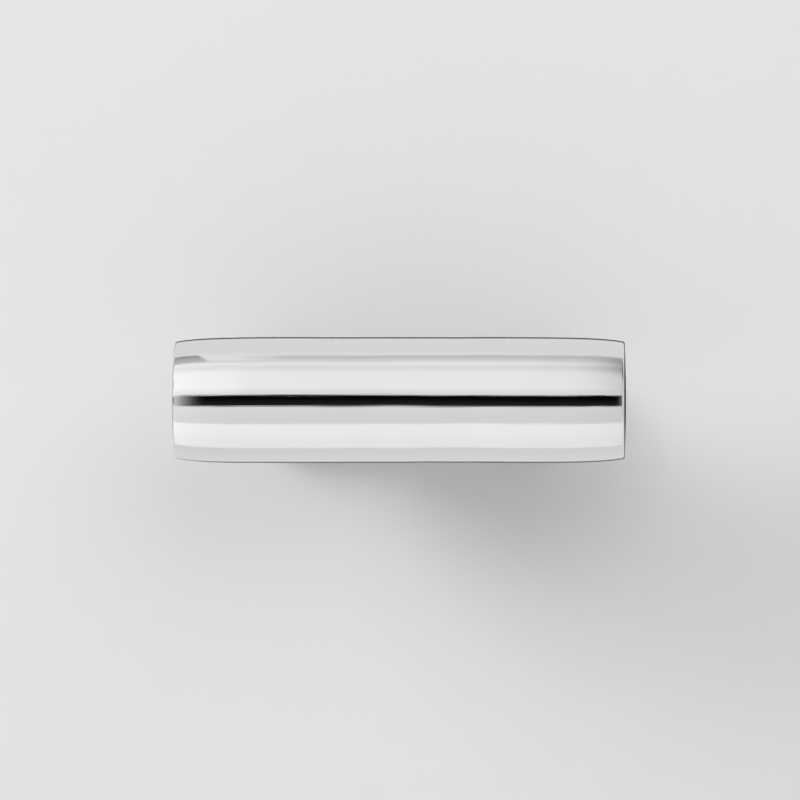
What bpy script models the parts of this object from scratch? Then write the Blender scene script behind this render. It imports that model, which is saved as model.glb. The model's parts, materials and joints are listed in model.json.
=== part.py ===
"""Bar door knocker: a crowned round bar on a short swinging arm that strikes a backplate.

Everything is drawn in millimetres in door coordinates: x to the right, up the door, and
out from the door's face. The empty door_face turns them into the world, where +Z is up
and somebody at the door looks along +Y. The pieces that swing hang on the empty
knocker_pivot, which lies on the hinge's axis.
"""

from math import acos, asin, atan2, cos, hypot, pi, radians, sin, tan

import bmesh
import bpy
from mathutils import Euler, Matrix, Vector

MM = 0.001
SEAT_GAP = 0.2  # between pieces that rest on each other
FIT_GAP = 0.1  # radial, between a hole and what it holds
OVERSHOOT = 5.0  # how far a cutter reaches past the surface that it opens
LEFT, RIGHT = SIDES = -1, 1
LOWER, UPPER = LEVELS = -1, 1

# Handle bar
BAR_LENGTH = 90.0
BAR_RADIUS = 12.5
BAR_CROWN = 0.9  # how far the radius falls off towards the ends
BAR_CROWN_POWER = 9
BAR_EDGE = 0.7  # rounding of the end faces' edges
BAR_OUT = 38.0  # axis of the bar, out from the door

# Hinge
PIVOT_UP = 3.5
PIVOT_OUT = 13.0
LIFT_LIMIT = radians(80)
PIN_RADIUS = 2.5
PIN_INNER, PIN_OUTER = 8.2, 20.3  # its ends, from the middle of the knocker
PIN_CHAMFER = 0.4
BUSH_RADIUS = 4.0
BUSH_INNER = 8.4
BUSH_FLANGE_RADIUS = 5.2
BUSH_FLANGE_INNER, BUSH_FLANGE_OUTER = 14.4, 15.3

# Gasket and backplate
DOOR_THICKNESS = 44.0
GASKET_THICKNESS = 1.0
GASKET_INSET = 0.5
PLATE_LENGTH, PLATE_HEIGHT = 72.0, 22.0
PLATE_BACK = GASKET_THICKNESS + SEAT_GAP
PLATE_FRONT = 6.2
PLATE_BEVEL = 1.5
BOSS_RADIUS = 5.0
BOSS_DEPTH = 6.8  # how far the bosses reach into the door

# Cheeks that hold the pivot pins
CHEEK_INNER, CHEEK_OUTER = 15.5, 20.5
CHEEK_MIDDLE = (CHEEK_INNER + CHEEK_OUTER) / 2
CHEEK_FOOT = PLATE_FRONT + SEAT_GAP
CHEEK_RADIUS = 6.5
CHEEK_BOTTOM = -8.5
CHEEK_BEVEL = 0.6

# Countersunk screws through the backplate into the cheeks, and grub screws on the pins
M3_RADIUS = 1.5
CHEEK_SCREW_LENGTH = 8.0
CHEEK_SCREW_HEAD = 2.75
CHEEK_SCREW_UP = {LOWER: -5.0, UPPER: 6.5}
CHEEK_HOLE_END = 10.0
GRUB_LENGTH = 4.0
GRUB_CHAMFER = 0.3

# Swing arm
ARM_HALF_WIDTH = 14.3
ARM_REAR = 8.4
ARM_BOTTOM = -9.6
HEEL_RADIUS = PIVOT_OUT - PLATE_FRONT - SEAT_GAP
STOP_LENGTH = 3.8  # flat that meets the backplate at the end of the lift
ARM_FRONT = 30.0  # before the saddle is cut
ARM_FRONT_TOP, ARM_FRONT_BOTTOM = 5.5, -6.0
WAIST_START, WAIST, WAIST_END = 18.5, 22.0, 26.0  # out from the door
WAIST_HALF_WIDTH, SADDLE_HALF_WIDTH = 11.0, 13.0
ARM_BEVEL = 0.8

# Striker buttons in the arm and the anvil studs that they hit
STRIKER_X, STRIKER_UP = 9.5, -5.5
STRIKER_RADIUS, STRIKER_FACE = 3.2, 7.5
ANVIL_RADIUS, ANVIL_FACE = 3.5, STRIKER_FACE - SEAT_GAP
SHANK_RADIUS, SHANK_LENGTH = 1.75, 3.2
BUTTON_CHAMFER = 0.3

# Bolt, spring washer and dowels that hold the bar on the arm
M6_RADIUS = 3.0
BOLT_HEAD_RADIUS, BOLT_HEAD_LENGTH = 5.0, 6.0
BOLT_UNDER_HEAD = 15.0
BOLT_LENGTH = 20.0
BOLT_CHAMFER = 0.5
SOCKET_ACROSS, SOCKET_DEPTH = 5.0, 3.0
COUNTERBORE_RADIUS = 5.5
SPRING_WASHER_RADIUS, SPRING_WASHER_THICKNESS = 4.9, 1.6
SPRING_WASHER_TURN = radians(345)
DOWEL_X, DOWEL_RADIUS = 8.0, 2.0
DOWEL_INNER, DOWEL_OUTER = 21.4, 30.4
DOWEL_CHAMFER = 0.4

# Studs, washers and dome nuts that clamp the knocker to the door
STUD_X = 27.0
STUD_LENGTH = 55.0
STUD_OUTER = 4.0
STUD_CHAMFER = 0.8
WASHER_RADIUS, WASHER_THICKNESS = 8.0, 1.5
NUT_ACROSS, NUT_HEX_HEIGHT, NUT_HEIGHT = 10.0, 5.0, 11.0
NUT_DOME_RADIUS = 4.7
NUT_CHAMFER = radians(30)
NUT_FACE_RADIUS = 4.75  # of the flat that the chamfer leaves on each end of the hexagon
NUT_BORE_DEPTH = 7.5

# Turned shapes
SEGMENTS = 20
BAR_SEGMENTS = 40
BAR_RINGS = 8
ARC_STEPS = 6
EDGE_STEPS = 4
BEVEL_STEPS = 2
WELD = 1e-4  # points this close are one point
SHARP_EDGE = radians(35)

# How a turned shape's own axis lies in door coordinates
ALONG_OUT = (0, 0, 0)
ALONG_DOOR = (pi, 0, 0)
ALONG_UP = (-pi / 2, 0, 0)
ALONG_X = {LEFT: (0, -pi / 2, 0), RIGHT: (0, pi / 2, 0)}


def clear_scene():
    for obj in list(bpy.data.objects):
        bpy.data.objects.remove(obj)


def make_material(name, colour, metallic, roughness):
    material = bpy.data.materials.new(name)
    material.use_nodes = True
    shader = material.node_tree.nodes["Principled BSDF"]
    shader.inputs["Base Color"].default_value = (*colour, 1)
    shader.inputs["Metallic"].default_value = metallic
    shader.inputs["Roughness"].default_value = roughness
    return material


def add_empty(name, parent=None, at=(0, 0, 0), turn=(0, 0, 0)):
    empty = bpy.data.objects.new(name, None)
    bpy.context.scene.collection.objects.link(empty)
    empty.parent = parent
    empty.location = Vector(at) * MM
    empty.rotation_euler = turn
    return empty


def add_object(name, bm, material, parent, at=(0, 0, 0), turn=ALONG_OUT):
    """Makes a mesh drawn in millimetres an object under parent, at a place in door coordinates."""
    bmesh.ops.recalc_face_normals(bm, faces=bm.faces)
    bm.transform(Matrix.Scale(MM, 4))
    mesh = bpy.data.meshes.new(name)
    bm.to_mesh(mesh)
    bm.free()
    mesh.materials.append(material)
    mesh.shade_smooth()
    mesh.set_sharp_from_angle(angle=SHARP_EDGE)
    obj = bpy.data.objects.new(name, mesh)
    bpy.context.scene.collection.objects.link(obj)
    obj.parent = parent
    obj.location = Vector(at) * MM - parent.location
    obj.rotation_euler = turn
    return obj


def placed(bm, at, turn=ALONG_OUT):
    """The same mesh, moved from its own axes to a place in door coordinates."""
    bm.transform(Matrix.Translation(at) @ Euler(turn).to_matrix().to_4x4())
    return bm


def joined(pieces):
    """One mesh holding them all; the pieces themselves are freed."""
    whole = bmesh.new()
    scratch = bpy.data.meshes.new("scratch")
    for bm in pieces:
        bm.to_mesh(scratch)
        bm.free()
        whole.from_mesh(scratch)
    bpy.data.meshes.remove(scratch)
    return whole


def add_cutter(target, *pieces, operation="DIFFERENCE"):
    """Cuts pieces drawn in door coordinates, clear of each other, out of target, or joins them."""
    name = f"{target.name}_{operation.lower()}"
    cutter = add_object(name, joined(pieces), target.data.materials[0], target.parent)
    cutter.hide_render = True
    cutter.display_type = "WIRE"
    boolean = target.modifiers.new(name, "BOOLEAN")
    boolean.operation = operation
    boolean.object = cutter


def add_bevel(obj, width):
    bevel = obj.modifiers.new("rounded_edges", "BEVEL")
    bevel.width = width * MM
    bevel.segments = BEVEL_STEPS
    bevel.limit_method = "ANGLE"
    bevel.angle_limit = SHARP_EDGE


def turned(profile, segments=SEGMENTS, ring=False, sweep=2 * pi):
    """Spins a profile of (radius, height) points about the height axis.

    A ring's profile is a closed loop clear of the axis; any other starts and ends on it.
    """
    bm = bmesh.new()
    verts = [bm.verts.new((radius, 0, height)) for radius, height in profile]
    following = verts[1:] + verts[:1] if ring else verts[1:]
    edges = [bm.edges.new(ends) for ends in zip(verts, following)]
    bmesh.ops.spin(bm, geom=verts + edges, axis=(0, 0, 1), angle=sweep, steps=segments)
    bmesh.ops.remove_doubles(bm, verts=bm.verts, dist=WELD)
    open_edges = [edge for edge in bm.edges if edge.is_boundary]
    bmesh.ops.holes_fill(bm, edges=open_edges)
    return bm


def rod(radius, length, chamfer=0.0, segments=SEGMENTS):
    """A round rod from height 0 to its length, with both ends chamfered."""
    profile = [(0, 0), (radius - chamfer, 0), (radius, chamfer)]
    profile += [(radius, length - chamfer), (radius - chamfer, length), (0, length)]
    return turned(list(dict.fromkeys(profile)), segments)


def prism(outline, start, end, place):
    """A solid between two copies of an outline; place turns (a, b, along) into (x, up, out)."""
    bm = bmesh.new()
    near = [bm.verts.new(place(a, b, start)) for a, b in outline]
    far = [bm.verts.new(place(a, b, end)) for a, b in outline]
    bm.faces.new(near)
    bm.faces.new(far)
    for i, vert in enumerate(near):
        bm.faces.new((near[i - 1], vert, far[i], far[i - 1]))
    return bm


def front_view(x, up, out):
    return x, up, out


def side_view(out, up, x):
    return x, up, out


def plan_view(x, out, up):
    return x, up, out


def arc(centre, radius, start, end, steps=ARC_STEPS):
    """Points on a circle from one angle to another, both ends included."""
    angles = [start + (end - start) * i / steps for i in range(steps + 1)]
    return [(centre[0] + radius * cos(a), centre[1] + radius * sin(a)) for a in angles]


def pill(length, height):
    radius = height / 2
    reach = length / 2 - radius
    steps = 2 * ARC_STEPS
    return (
        arc((reach, 0), radius, -pi / 2, pi / 2, steps)
        + arc((-reach, 0), radius, pi / 2, 3 * pi / 2, steps)
    )


def hexagon(across):
    """Its six corners, a sixth of a turn apart."""
    corner = across / 2 / cos(pi / 6)
    return arc((0, 0), corner, 0, 5 * pi / 3, 5)


def side_name(side):
    return {LEFT: "left", RIGHT: "right"}[side]


def add_gasket(door, rubber):
    outline = pill(PLATE_LENGTH - 2 * GASKET_INSET, PLATE_HEIGHT - 2 * GASKET_INSET)
    gasket = add_object(
        "door_gasket", prism(outline, 0, GASKET_THICKNESS, front_view), rubber, door
    )
    holes = []
    for side in SIDES:
        hole = rod(BOSS_RADIUS + SEAT_GAP, GASKET_THICKNESS + 2 * OVERSHOOT)
        holes.append(placed(hole, (side * STUD_X, 0, -OVERSHOOT)))
    add_cutter(gasket, *holes)


def round_front_edge(bm):
    rim = [e for e in bm.edges if all(v.co.z > PLATE_FRONT - WELD for v in e.verts)]
    bmesh.ops.bevel(
        bm, geom=rim, offset=PLATE_BEVEL, segments=EDGE_STEPS, profile=0.5, affect="EDGES"
    )


def add_backplate(door, plated):
    body = prism(pill(PLATE_LENGTH, PLATE_HEIGHT), PLATE_BACK, PLATE_FRONT, front_view)
    round_front_edge(body)
    plate = add_object("backplate", body, plated, door)
    bosses, holes = [], []
    for side in SIDES:
        boss = rod(BOSS_RADIUS, BOSS_DEPTH + (PLATE_BACK + PLATE_FRONT) / 2)
        bosses.append(placed(boss, (side * STUD_X, 0, -BOSS_DEPTH)))
        mouth = BOSS_DEPTH + OVERSHOOT
        stud_hole = rod(M6_RADIUS + FIT_GAP, mouth + STUD_OUTER + SEAT_GAP)
        holes.append(placed(stud_hole, (side * STUD_X, 0, -mouth)))
        shank_hole = rod(SHANK_RADIUS + FIT_GAP, SHANK_LENGTH + OVERSHOOT)
        floor = PLATE_FRONT - SHANK_LENGTH - SEAT_GAP
        holes.append(placed(shank_hole, (side * STRIKER_X, STRIKER_UP, floor)))
        for up in CHEEK_SCREW_UP.values():
            holes.append(placed(countersunk_hole(), (side * CHEEK_MIDDLE, up, 0)))
    add_cutter(plate, *bosses, operation="UNION")
    add_cutter(plate, *holes)


def countersunk_hole():
    """A through hole that opens in a cone at the back of the plate, drawn from the door's face."""
    hole = M3_RADIUS + SEAT_GAP
    mouth = CHEEK_SCREW_HEAD + SEAT_GAP + PLATE_BACK
    profile = [(0, 0), (mouth, 0), (hole, mouth - hole), (hole, CHEEK_HOLE_END)]
    return turned([*profile, (0, CHEEK_HOLE_END)])


def cheek_outline():
    """Seen from the side: a flat foot, a round nose about the pin and a leaning underside."""
    rise, reach = PIVOT_UP - CHEEK_BOTTOM, PIVOT_OUT - CHEEK_FOOT
    lean = atan2(rise, reach) - asin(CHEEK_RADIUS / hypot(rise, reach))
    nose = arc((PIVOT_OUT, PIVOT_UP), CHEEK_RADIUS, lean - pi / 2, pi / 2, 2 * ARC_STEPS)
    return [(CHEEK_FOOT, CHEEK_BOTTOM), *nose, (CHEEK_FOOT, PIVOT_UP + CHEEK_RADIUS)]


def add_cheek(door, side, plated):
    inner, outer = sorted((side * CHEEK_INNER, side * CHEEK_OUTER))
    body = prism(cheek_outline(), inner, outer, side_view)
    cheek = add_object(f"{side_name(side)}_hinge_cheek", body, plated, door)
    add_bevel(cheek, CHEEK_BEVEL)
    pin_hole = rod(PIN_RADIUS + FIT_GAP, CHEEK_OUTER + OVERSHOOT)
    add_cutter(cheek, placed(pin_hole, (0, PIVOT_UP, PIVOT_OUT), ALONG_X[side]))
    mouth = CHEEK_BOTTOM - OVERSHOOT
    grub_hole = rod(M3_RADIUS + FIT_GAP, PIVOT_UP - mouth)
    place = (side * CHEEK_MIDDLE, mouth, PIVOT_OUT)
    holes = [placed(grub_hole, place, ALONG_UP)]
    for up in CHEEK_SCREW_UP.values():
        screw_hole = rod(M3_RADIUS + FIT_GAP, CHEEK_HOLE_END)
        holes.append(placed(screw_hole, (side * CHEEK_MIDDLE, up, 0)))
    add_cutter(cheek, *holes)


def add_cheek_screw(door, side, level, steel):
    """A countersunk screw from the back of the plate, its head just under the surface."""
    back = PLATE_BACK + FIT_GAP
    profile = [
        (0, 0),
        (CHEEK_SCREW_HEAD, 0),
        (M3_RADIUS, CHEEK_SCREW_HEAD - M3_RADIUS),
        (M3_RADIUS, CHEEK_SCREW_LENGTH - GRUB_CHAMFER),
        (M3_RADIUS - GRUB_CHAMFER, CHEEK_SCREW_LENGTH),
        (0, CHEEK_SCREW_LENGTH),
    ]
    name = f"{side_name(side)}_{'upper' if level == UPPER else 'lower'}_cheek_screw"
    place = (side * CHEEK_MIDDLE, CHEEK_SCREW_UP[level], back)
    add_object(name, turned(profile), steel, door, place)


def add_pivot_pin(door, side, steel):
    pin = rod(PIN_RADIUS, PIN_OUTER - PIN_INNER, PIN_CHAMFER)
    place = (side * PIN_INNER, PIVOT_UP, PIVOT_OUT)
    add_object(f"{side_name(side)}_pivot_pin", pin, steel, door, place, ALONG_X[side])


def add_grub_screw(door, side, steel):
    tip = PIVOT_UP - PIN_RADIUS - SEAT_GAP
    place = (side * CHEEK_MIDDLE, tip - GRUB_LENGTH, PIVOT_OUT)
    grub = rod(M3_RADIUS, GRUB_LENGTH, GRUB_CHAMFER)
    add_object(f"{side_name(side)}_pin_grub_screw", grub, steel, door, place, ALONG_UP)


def add_pivot_bush(pivot, side, nylon):
    bore = PIN_RADIUS + FIT_GAP
    profile = [
        (bore, BUSH_INNER),
        (BUSH_RADIUS, BUSH_INNER),
        (BUSH_RADIUS, BUSH_FLANGE_INNER),
        (BUSH_FLANGE_RADIUS, BUSH_FLANGE_INNER),
        (BUSH_FLANGE_RADIUS, BUSH_FLANGE_OUTER),
        (bore, BUSH_FLANGE_OUTER),
    ]
    bush = turned(profile, ring=True)
    place = (0, PIVOT_UP, PIVOT_OUT)
    add_object(f"{side_name(side)}_pivot_bush", bush, nylon, pivot, place, ALONG_X[side])


def arm_side_outline():
    """Seen from the side: rear face, round heel about the pin, stop flat, then top and bottom."""
    rear_turn = pi + acos((PIVOT_OUT - ARM_REAR) / HEEL_RADIUS)
    stop_normal = pi - LIFT_LIMIT
    heel = arc((PIVOT_OUT, PIVOT_UP), HEEL_RADIUS, rear_turn, stop_normal, 2 * ARC_STEPS)
    flat_start = heel[-1]
    flat_end = (
        flat_start[0] + STOP_LENGTH * sin(stop_normal),
        flat_start[1] - STOP_LENGTH * cos(stop_normal),
    )
    front = [(ARM_FRONT, ARM_FRONT_TOP), (ARM_FRONT, ARM_FRONT_BOTTOM)]
    return [(ARM_REAR, ARM_BOTTOM), *heel, flat_end, *front]


def arm_plan_outline():
    """Seen from above: parallel at the hinge, waisted, then wider again under the bar."""
    stages = (
        (WAIST_START, WAIST, ARM_HALF_WIDTH, WAIST_HALF_WIDTH),
        (WAIST, WAIST_END, WAIST_HALF_WIDTH, SADDLE_HALF_WIDTH),
    )
    edge = [(ARM_HALF_WIDTH, 0)]
    for start, end, wide, narrow in stages:
        for i in range(ARC_STEPS + 1):
            turn = pi * i / ARC_STEPS
            out = start + (end - start) * i / ARC_STEPS
            edge.append(((wide + narrow) / 2 + (wide - narrow) / 2 * cos(turn), out))
    edge.append((SADDLE_HALF_WIDTH, ARM_FRONT + OVERSHOOT))
    edge = list(dict.fromkeys(edge))
    return edge + [(-x, out) for x, out in reversed(edge)]


def add_swing_arm(pivot, plated):
    reach = ARM_HALF_WIDTH + OVERSHOOT
    body = prism(arm_side_outline(), -reach, reach, side_view)
    arm = add_object("swing_arm", body, plated, pivot)
    plan = prism(arm_plan_outline(), -BAR_RADIUS, BAR_RADIUS, plan_view)
    add_cutter(arm, plan, operation="INTERSECT")
    add_bevel(arm, ARM_BEVEL)
    saddle = rod(BAR_RADIUS + SEAT_GAP, BAR_LENGTH, segments=BAR_SEGMENTS)
    add_cutter(arm, placed(saddle, (-BAR_LENGTH / 2, 0, BAR_OUT), ALONG_X[RIGHT]))
    holes = [bolt_hole()]
    for side in SIDES:
        bush_hole = rod(BUSH_RADIUS + FIT_GAP, BUSH_FLANGE_OUTER)
        place = (side * (BUSH_INNER - SEAT_GAP), PIVOT_UP, PIVOT_OUT)
        holes.append(placed(bush_hole, place, ALONG_X[side]))
        dowel_hole = rod(DOWEL_RADIUS + FIT_GAP, DOWEL_OUTER - DOWEL_INNER)
        holes.append(placed(dowel_hole, (side * DOWEL_X, 0, DOWEL_INNER - SEAT_GAP)))
        shank_hole = rod(SHANK_RADIUS + FIT_GAP, ARM_REAR + SHANK_LENGTH + SEAT_GAP)
        holes.append(placed(shank_hole, (side * STRIKER_X, STRIKER_UP, 0)))
    add_cutter(arm, *holes)


def bolt_hole():
    """A counterbore from the back for the bolt's head and washer, then a clearance hole."""
    floor = BOLT_UNDER_HEAD + SPRING_WASHER_THICKNESS + 2 * SEAT_GAP
    hole = M6_RADIUS + SEAT_GAP
    profile = [(0, 0), (COUNTERBORE_RADIUS, 0), (COUNTERBORE_RADIUS, floor)]
    return turned([*profile, (hole, floor), (hole, BAR_OUT), (0, BAR_OUT)])


def button(radius, head):
    """A flat round head, its face at height 0, on a thinner shank."""
    return turned(
        [
            (0, 0),
            (radius - BUTTON_CHAMFER, 0),
            (radius, BUTTON_CHAMFER),
            (radius, head),
            (SHANK_RADIUS, head),
            (SHANK_RADIUS, head + SHANK_LENGTH),
            (0, head + SHANK_LENGTH),
        ]
    )


def add_striker_button(pivot, side, steel):
    body = button(STRIKER_RADIUS, ARM_REAR - FIT_GAP - STRIKER_FACE)
    place = (side * STRIKER_X, STRIKER_UP, STRIKER_FACE)
    add_object(f"{side_name(side)}_striker_button", body, steel, pivot, place)


def add_anvil_stud(door, side, steel):
    body = button(ANVIL_RADIUS, ANVIL_FACE - PLATE_FRONT - FIT_GAP)
    place = (side * STRIKER_X, STRIKER_UP, ANVIL_FACE)
    add_object(f"{side_name(side)}_anvil_stud", body, steel, door, place, ALONG_DOOR)


def bar_profile():
    """Crowned: nearly parallel in the middle, falling away smoothly towards the ends."""
    half = BAR_LENGTH / 2
    end_radius = BAR_RADIUS - BAR_CROWN - BAR_EDGE
    crown_half = half - BAR_EDGE
    crown = []
    for i in range(1, BAR_RINGS):
        along = crown_half * sin(pi * (i / BAR_RINGS - 0.5))
        crown.append((BAR_RADIUS - BAR_CROWN * abs(along / half) ** BAR_CROWN_POWER, along))
    edge = arc((end_radius, crown_half), BAR_EDGE, 0, pi / 2, EDGE_STEPS)
    far_end = [*edge, (0, half)]
    near_end = [(radius, -along) for radius, along in reversed(far_end)]
    return near_end + crown + far_end


def add_handle_bar(pivot, plated):
    place = (0, 0, BAR_OUT)
    body = turned(bar_profile(), BAR_SEGMENTS)
    bar = add_object("handle_bar", body, plated, pivot, place, ALONG_X[RIGHT])
    holes = [rod(M6_RADIUS + FIT_GAP, BOLT_UNDER_HEAD + BOLT_LENGTH + SEAT_GAP)]
    for side in SIDES:
        dowel_hole = rod(DOWEL_RADIUS + FIT_GAP, DOWEL_OUTER + SEAT_GAP)
        holes.append(placed(dowel_hole, (side * DOWEL_X, 0, 0)))
    add_cutter(bar, *holes)


def add_bar_bolt(pivot, steel):
    """A socket cap screw with its head towards the door."""
    shank_start = BOLT_HEAD_LENGTH
    end = shank_start + BOLT_LENGTH
    profile = [
        (0, 0),
        (BOLT_HEAD_RADIUS - BOLT_CHAMFER, 0),
        (BOLT_HEAD_RADIUS, BOLT_CHAMFER),
        (BOLT_HEAD_RADIUS, shank_start),
        (M6_RADIUS, shank_start),
        (M6_RADIUS, end - BOLT_CHAMFER),
        (M6_RADIUS - BOLT_CHAMFER, end),
        (0, end),
    ]
    head_back = BOLT_UNDER_HEAD - BOLT_HEAD_LENGTH
    bolt = add_object("bar_bolt", turned(profile), steel, pivot, (0, 0, head_back))
    add_cutter(bolt, prism(hexagon(SOCKET_ACROSS), 0, head_back + SOCKET_DEPTH, front_view))


def add_spring_washer(pivot, steel):
    start = BOLT_UNDER_HEAD + SEAT_GAP
    end = start + SPRING_WASHER_THICKNESS
    inner = M6_RADIUS + FIT_GAP
    outer = SPRING_WASHER_RADIUS
    section = [(inner, start), (outer, start), (outer, end), (inner, end)]
    washer = turned(section, ring=True, sweep=SPRING_WASHER_TURN)
    add_object("bar_bolt_washer", washer, steel, pivot)


def add_bar_dowel(pivot, side, steel):
    dowel = rod(DOWEL_RADIUS, DOWEL_OUTER - DOWEL_INNER, DOWEL_CHAMFER)
    place = (side * DOWEL_X, 0, DOWEL_INNER)
    add_object(f"{side_name(side)}_bar_dowel", dowel, steel, pivot, place)


def add_fixing_stud(door, side, steel):
    stud = rod(M6_RADIUS, STUD_LENGTH, STUD_CHAMFER)
    place = (side * STUD_X, 0, STUD_OUTER)
    add_object(f"{side_name(side)}_fixing_stud", stud, steel, door, place, ALONG_DOOR)


def add_rear_washer(door, side, steel):
    inner, outer = M6_RADIUS + SEAT_GAP, WASHER_RADIUS
    section = [(inner, 0), (outer, 0), (outer, WASHER_THICKNESS), (inner, WASHER_THICKNESS)]
    place = (side * STUD_X, 0, -DOOR_THICKNESS)
    name = f"{side_name(side)}_rear_washer"
    add_object(name, turned(section, ring=True), steel, door, place, ALONG_DOOR)


def add_dome_nut(door, side, plated):
    """A hexagon with a round dome, tapped from the door side and closed at the back."""
    place = (side * STUD_X, 0, -DOOR_THICKNESS - WASHER_THICKNESS - SEAT_GAP)
    body = prism(hexagon(NUT_ACROSS), 0, NUT_HEX_HEIGHT, front_view)
    nut = add_object(f"{side_name(side)}_dome_nut", body, plated, door, place, ALONG_DOOR)
    add_cutter(nut, placed(nut_chamfer(), place, ALONG_DOOR), operation="INTERSECT")
    dome = arc((0, NUT_HEIGHT - NUT_DOME_RADIUS), NUT_DOME_RADIUS, 0, pi / 2)
    foot = NUT_HEX_HEIGHT / 2
    cap = turned([(0, foot), (NUT_DOME_RADIUS, foot), *dome[:-1], (0, NUT_HEIGHT)])
    add_cutter(nut, placed(cap, place, ALONG_DOOR), operation="UNION")
    bore = rod(M6_RADIUS + FIT_GAP, OVERSHOOT + NUT_BORE_DEPTH)
    mouth = (place[0], place[1], place[2] + OVERSHOOT)
    add_cutter(nut, placed(bore, mouth, ALONG_DOOR))


def nut_chamfer():
    """The double cone that takes the corners off the hexagon."""
    reach = NUT_ACROSS / 2 / cos(pi / 6) + SEAT_GAP
    rise = (reach - NUT_FACE_RADIUS) * tan(NUT_CHAMFER)
    profile = [(0, 0), (NUT_FACE_RADIUS, 0), (reach, rise)]
    profile += [(reach, NUT_HEX_HEIGHT - rise), (NUT_FACE_RADIUS, NUT_HEX_HEIGHT)]
    return turned([*profile, (0, NUT_HEX_HEIGHT)])


def build():
    clear_scene()
    polished = make_material("polished_nickel", (0.83, 0.82, 0.8), 1.0, 0.05)
    brushed = make_material("brushed_nickel", (0.83, 0.82, 0.8), 1.0, 0.3)
    satin = make_material("satin_nickel", (0.83, 0.82, 0.8), 1.0, 0.2)
    steel = make_material("stainless_steel", (0.6, 0.6, 0.6), 1.0, 0.3)
    nylon = make_material("nylon", (0.85, 0.84, 0.8), 0.0, 0.5)
    rubber = make_material("black_rubber", (0.02, 0.02, 0.02), 0.0, 0.8)
    door = add_empty("door_face", turn=(pi / 2, 0, 0))
    pivot = add_empty("knocker_pivot", door, (0, PIVOT_UP, PIVOT_OUT))

    add_gasket(door, rubber)
    add_backplate(door, brushed)
    add_swing_arm(pivot, brushed)
    add_handle_bar(pivot, polished)
    add_bar_bolt(pivot, steel)
    add_spring_washer(pivot, steel)
    for side in SIDES:
        add_cheek(door, side, polished)
        for level in LEVELS:
            add_cheek_screw(door, side, level, steel)
        add_pivot_pin(door, side, steel)
        add_grub_screw(door, side, steel)
        add_pivot_bush(pivot, side, nylon)
        add_striker_button(pivot, side, steel)
        add_anvil_stud(door, side, steel)
        add_bar_dowel(pivot, side, steel)
        add_fixing_stud(door, side, steel)
        add_rear_washer(door, side, steel)
        add_dome_nut(door, side, satin)


build()
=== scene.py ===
"""Looks of the bar door knocker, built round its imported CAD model.

Pieces are drawn in millimetres in door coordinates: x to the right, up the door, and out
from the door's face. Each fine piece stands for one CAD node, and takes its place and size
from that node's box and from the hinge in the record.
"""

import json
from math import acos, asin, atan, atan2, ceil, cos, hypot, pi, radians, sin, tan

import bmesh
import bpy
from mathutils import Euler, Matrix, Vector, noise


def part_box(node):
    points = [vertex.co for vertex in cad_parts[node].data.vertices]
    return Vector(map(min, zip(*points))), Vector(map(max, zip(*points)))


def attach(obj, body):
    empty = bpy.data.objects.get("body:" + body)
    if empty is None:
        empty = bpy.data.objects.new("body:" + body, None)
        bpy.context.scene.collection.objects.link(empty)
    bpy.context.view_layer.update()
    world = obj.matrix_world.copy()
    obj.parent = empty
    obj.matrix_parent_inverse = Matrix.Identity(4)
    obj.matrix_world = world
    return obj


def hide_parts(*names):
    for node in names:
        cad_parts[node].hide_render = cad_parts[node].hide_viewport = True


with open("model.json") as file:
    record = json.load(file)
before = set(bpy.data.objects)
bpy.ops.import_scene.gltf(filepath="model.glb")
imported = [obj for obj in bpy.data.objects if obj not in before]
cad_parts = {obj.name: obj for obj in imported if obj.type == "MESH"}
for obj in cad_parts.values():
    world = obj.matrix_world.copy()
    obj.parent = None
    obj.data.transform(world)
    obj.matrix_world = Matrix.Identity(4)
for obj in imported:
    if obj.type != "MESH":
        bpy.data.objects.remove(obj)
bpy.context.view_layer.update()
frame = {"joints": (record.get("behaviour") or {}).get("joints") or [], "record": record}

MM = 0.001
DOOR_TO_WORLD = Matrix(((MM, 0, 0, 0), (0, 0, -MM, 0), (0, MM, 0, 0), (0, 0, 0, 1)))
CAD_GAP = 0.2  # between CAD pieces that touch on the real knocker
CLOSE_FIT = 0.02  # what is left of that gap here
OVERSHOOT = 0.5  # how far a cut runs past the surface it opens
LONG_REACH = 20  # further than any piece that is trimmed to shape
WELD = 1e-4
LEFT, RIGHT = SIDES = -1, 1
SIDE_NAMES = {LEFT: "left", RIGHT: "right"}

ROUND_STEPS = 96
FILLET_STEPS = 6
SHARP_EDGE = radians(28)

BAR_CROWN, BAR_CROWN_POWER, BAR_EDGE, BAR_END_DOME = 0.9, 10, 0.5, 0.25
BAR_RINGS, BAR_STEPS = 150, 224
POLISH_DEPTH = 0.09
POLISH_LENGTHS = (24.0, 9.0)
BRUSHED_ALONG = (1.0, 0.01, 0.02)  # askew, so that no face is square to it

PLATE_EDGE, CHEEK_EDGE, ARM_EDGE, GASKET_EDGE = 1.5, 0.6, 0.7, 0.15
BOSS_RADIUS, GASKET_HOLE_RADIUS = 5.0, 5.1
PIN_RADIUS, BUSH_RADIUS, BUSH_FLANGE = 2.5, 4.0, 0.9
PIN_HOLE_CHAMFER = 0.35
BUTTON_SHANK_RADIUS = 1.75
ARM_REAR, ARM_REACH, ARM_TOP, ARM_BOTTOM = 8.4, 30.0, 5.5, -6.0
HEEL_CLEARANCE, STOP_LENGTH = 0.2, 3.8
LIFT_LIMIT = radians(frame["joints"][0]["range_deg"][1])
# The arm's half-width: held at the first, narrowed to the second, then out to the third
WAIST_OUTS, WAIST_WIDTHS = (18.5, 22.0, 26.0), (14.3, 11.0, 13.0)

M3_RADIUS, M3_PITCH, M6_RADIUS, M6_PITCH = 1.5, 0.5, 3.0, 1.0
THREAD_DEPTH = 0.61  # as a share of the pitch
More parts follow.
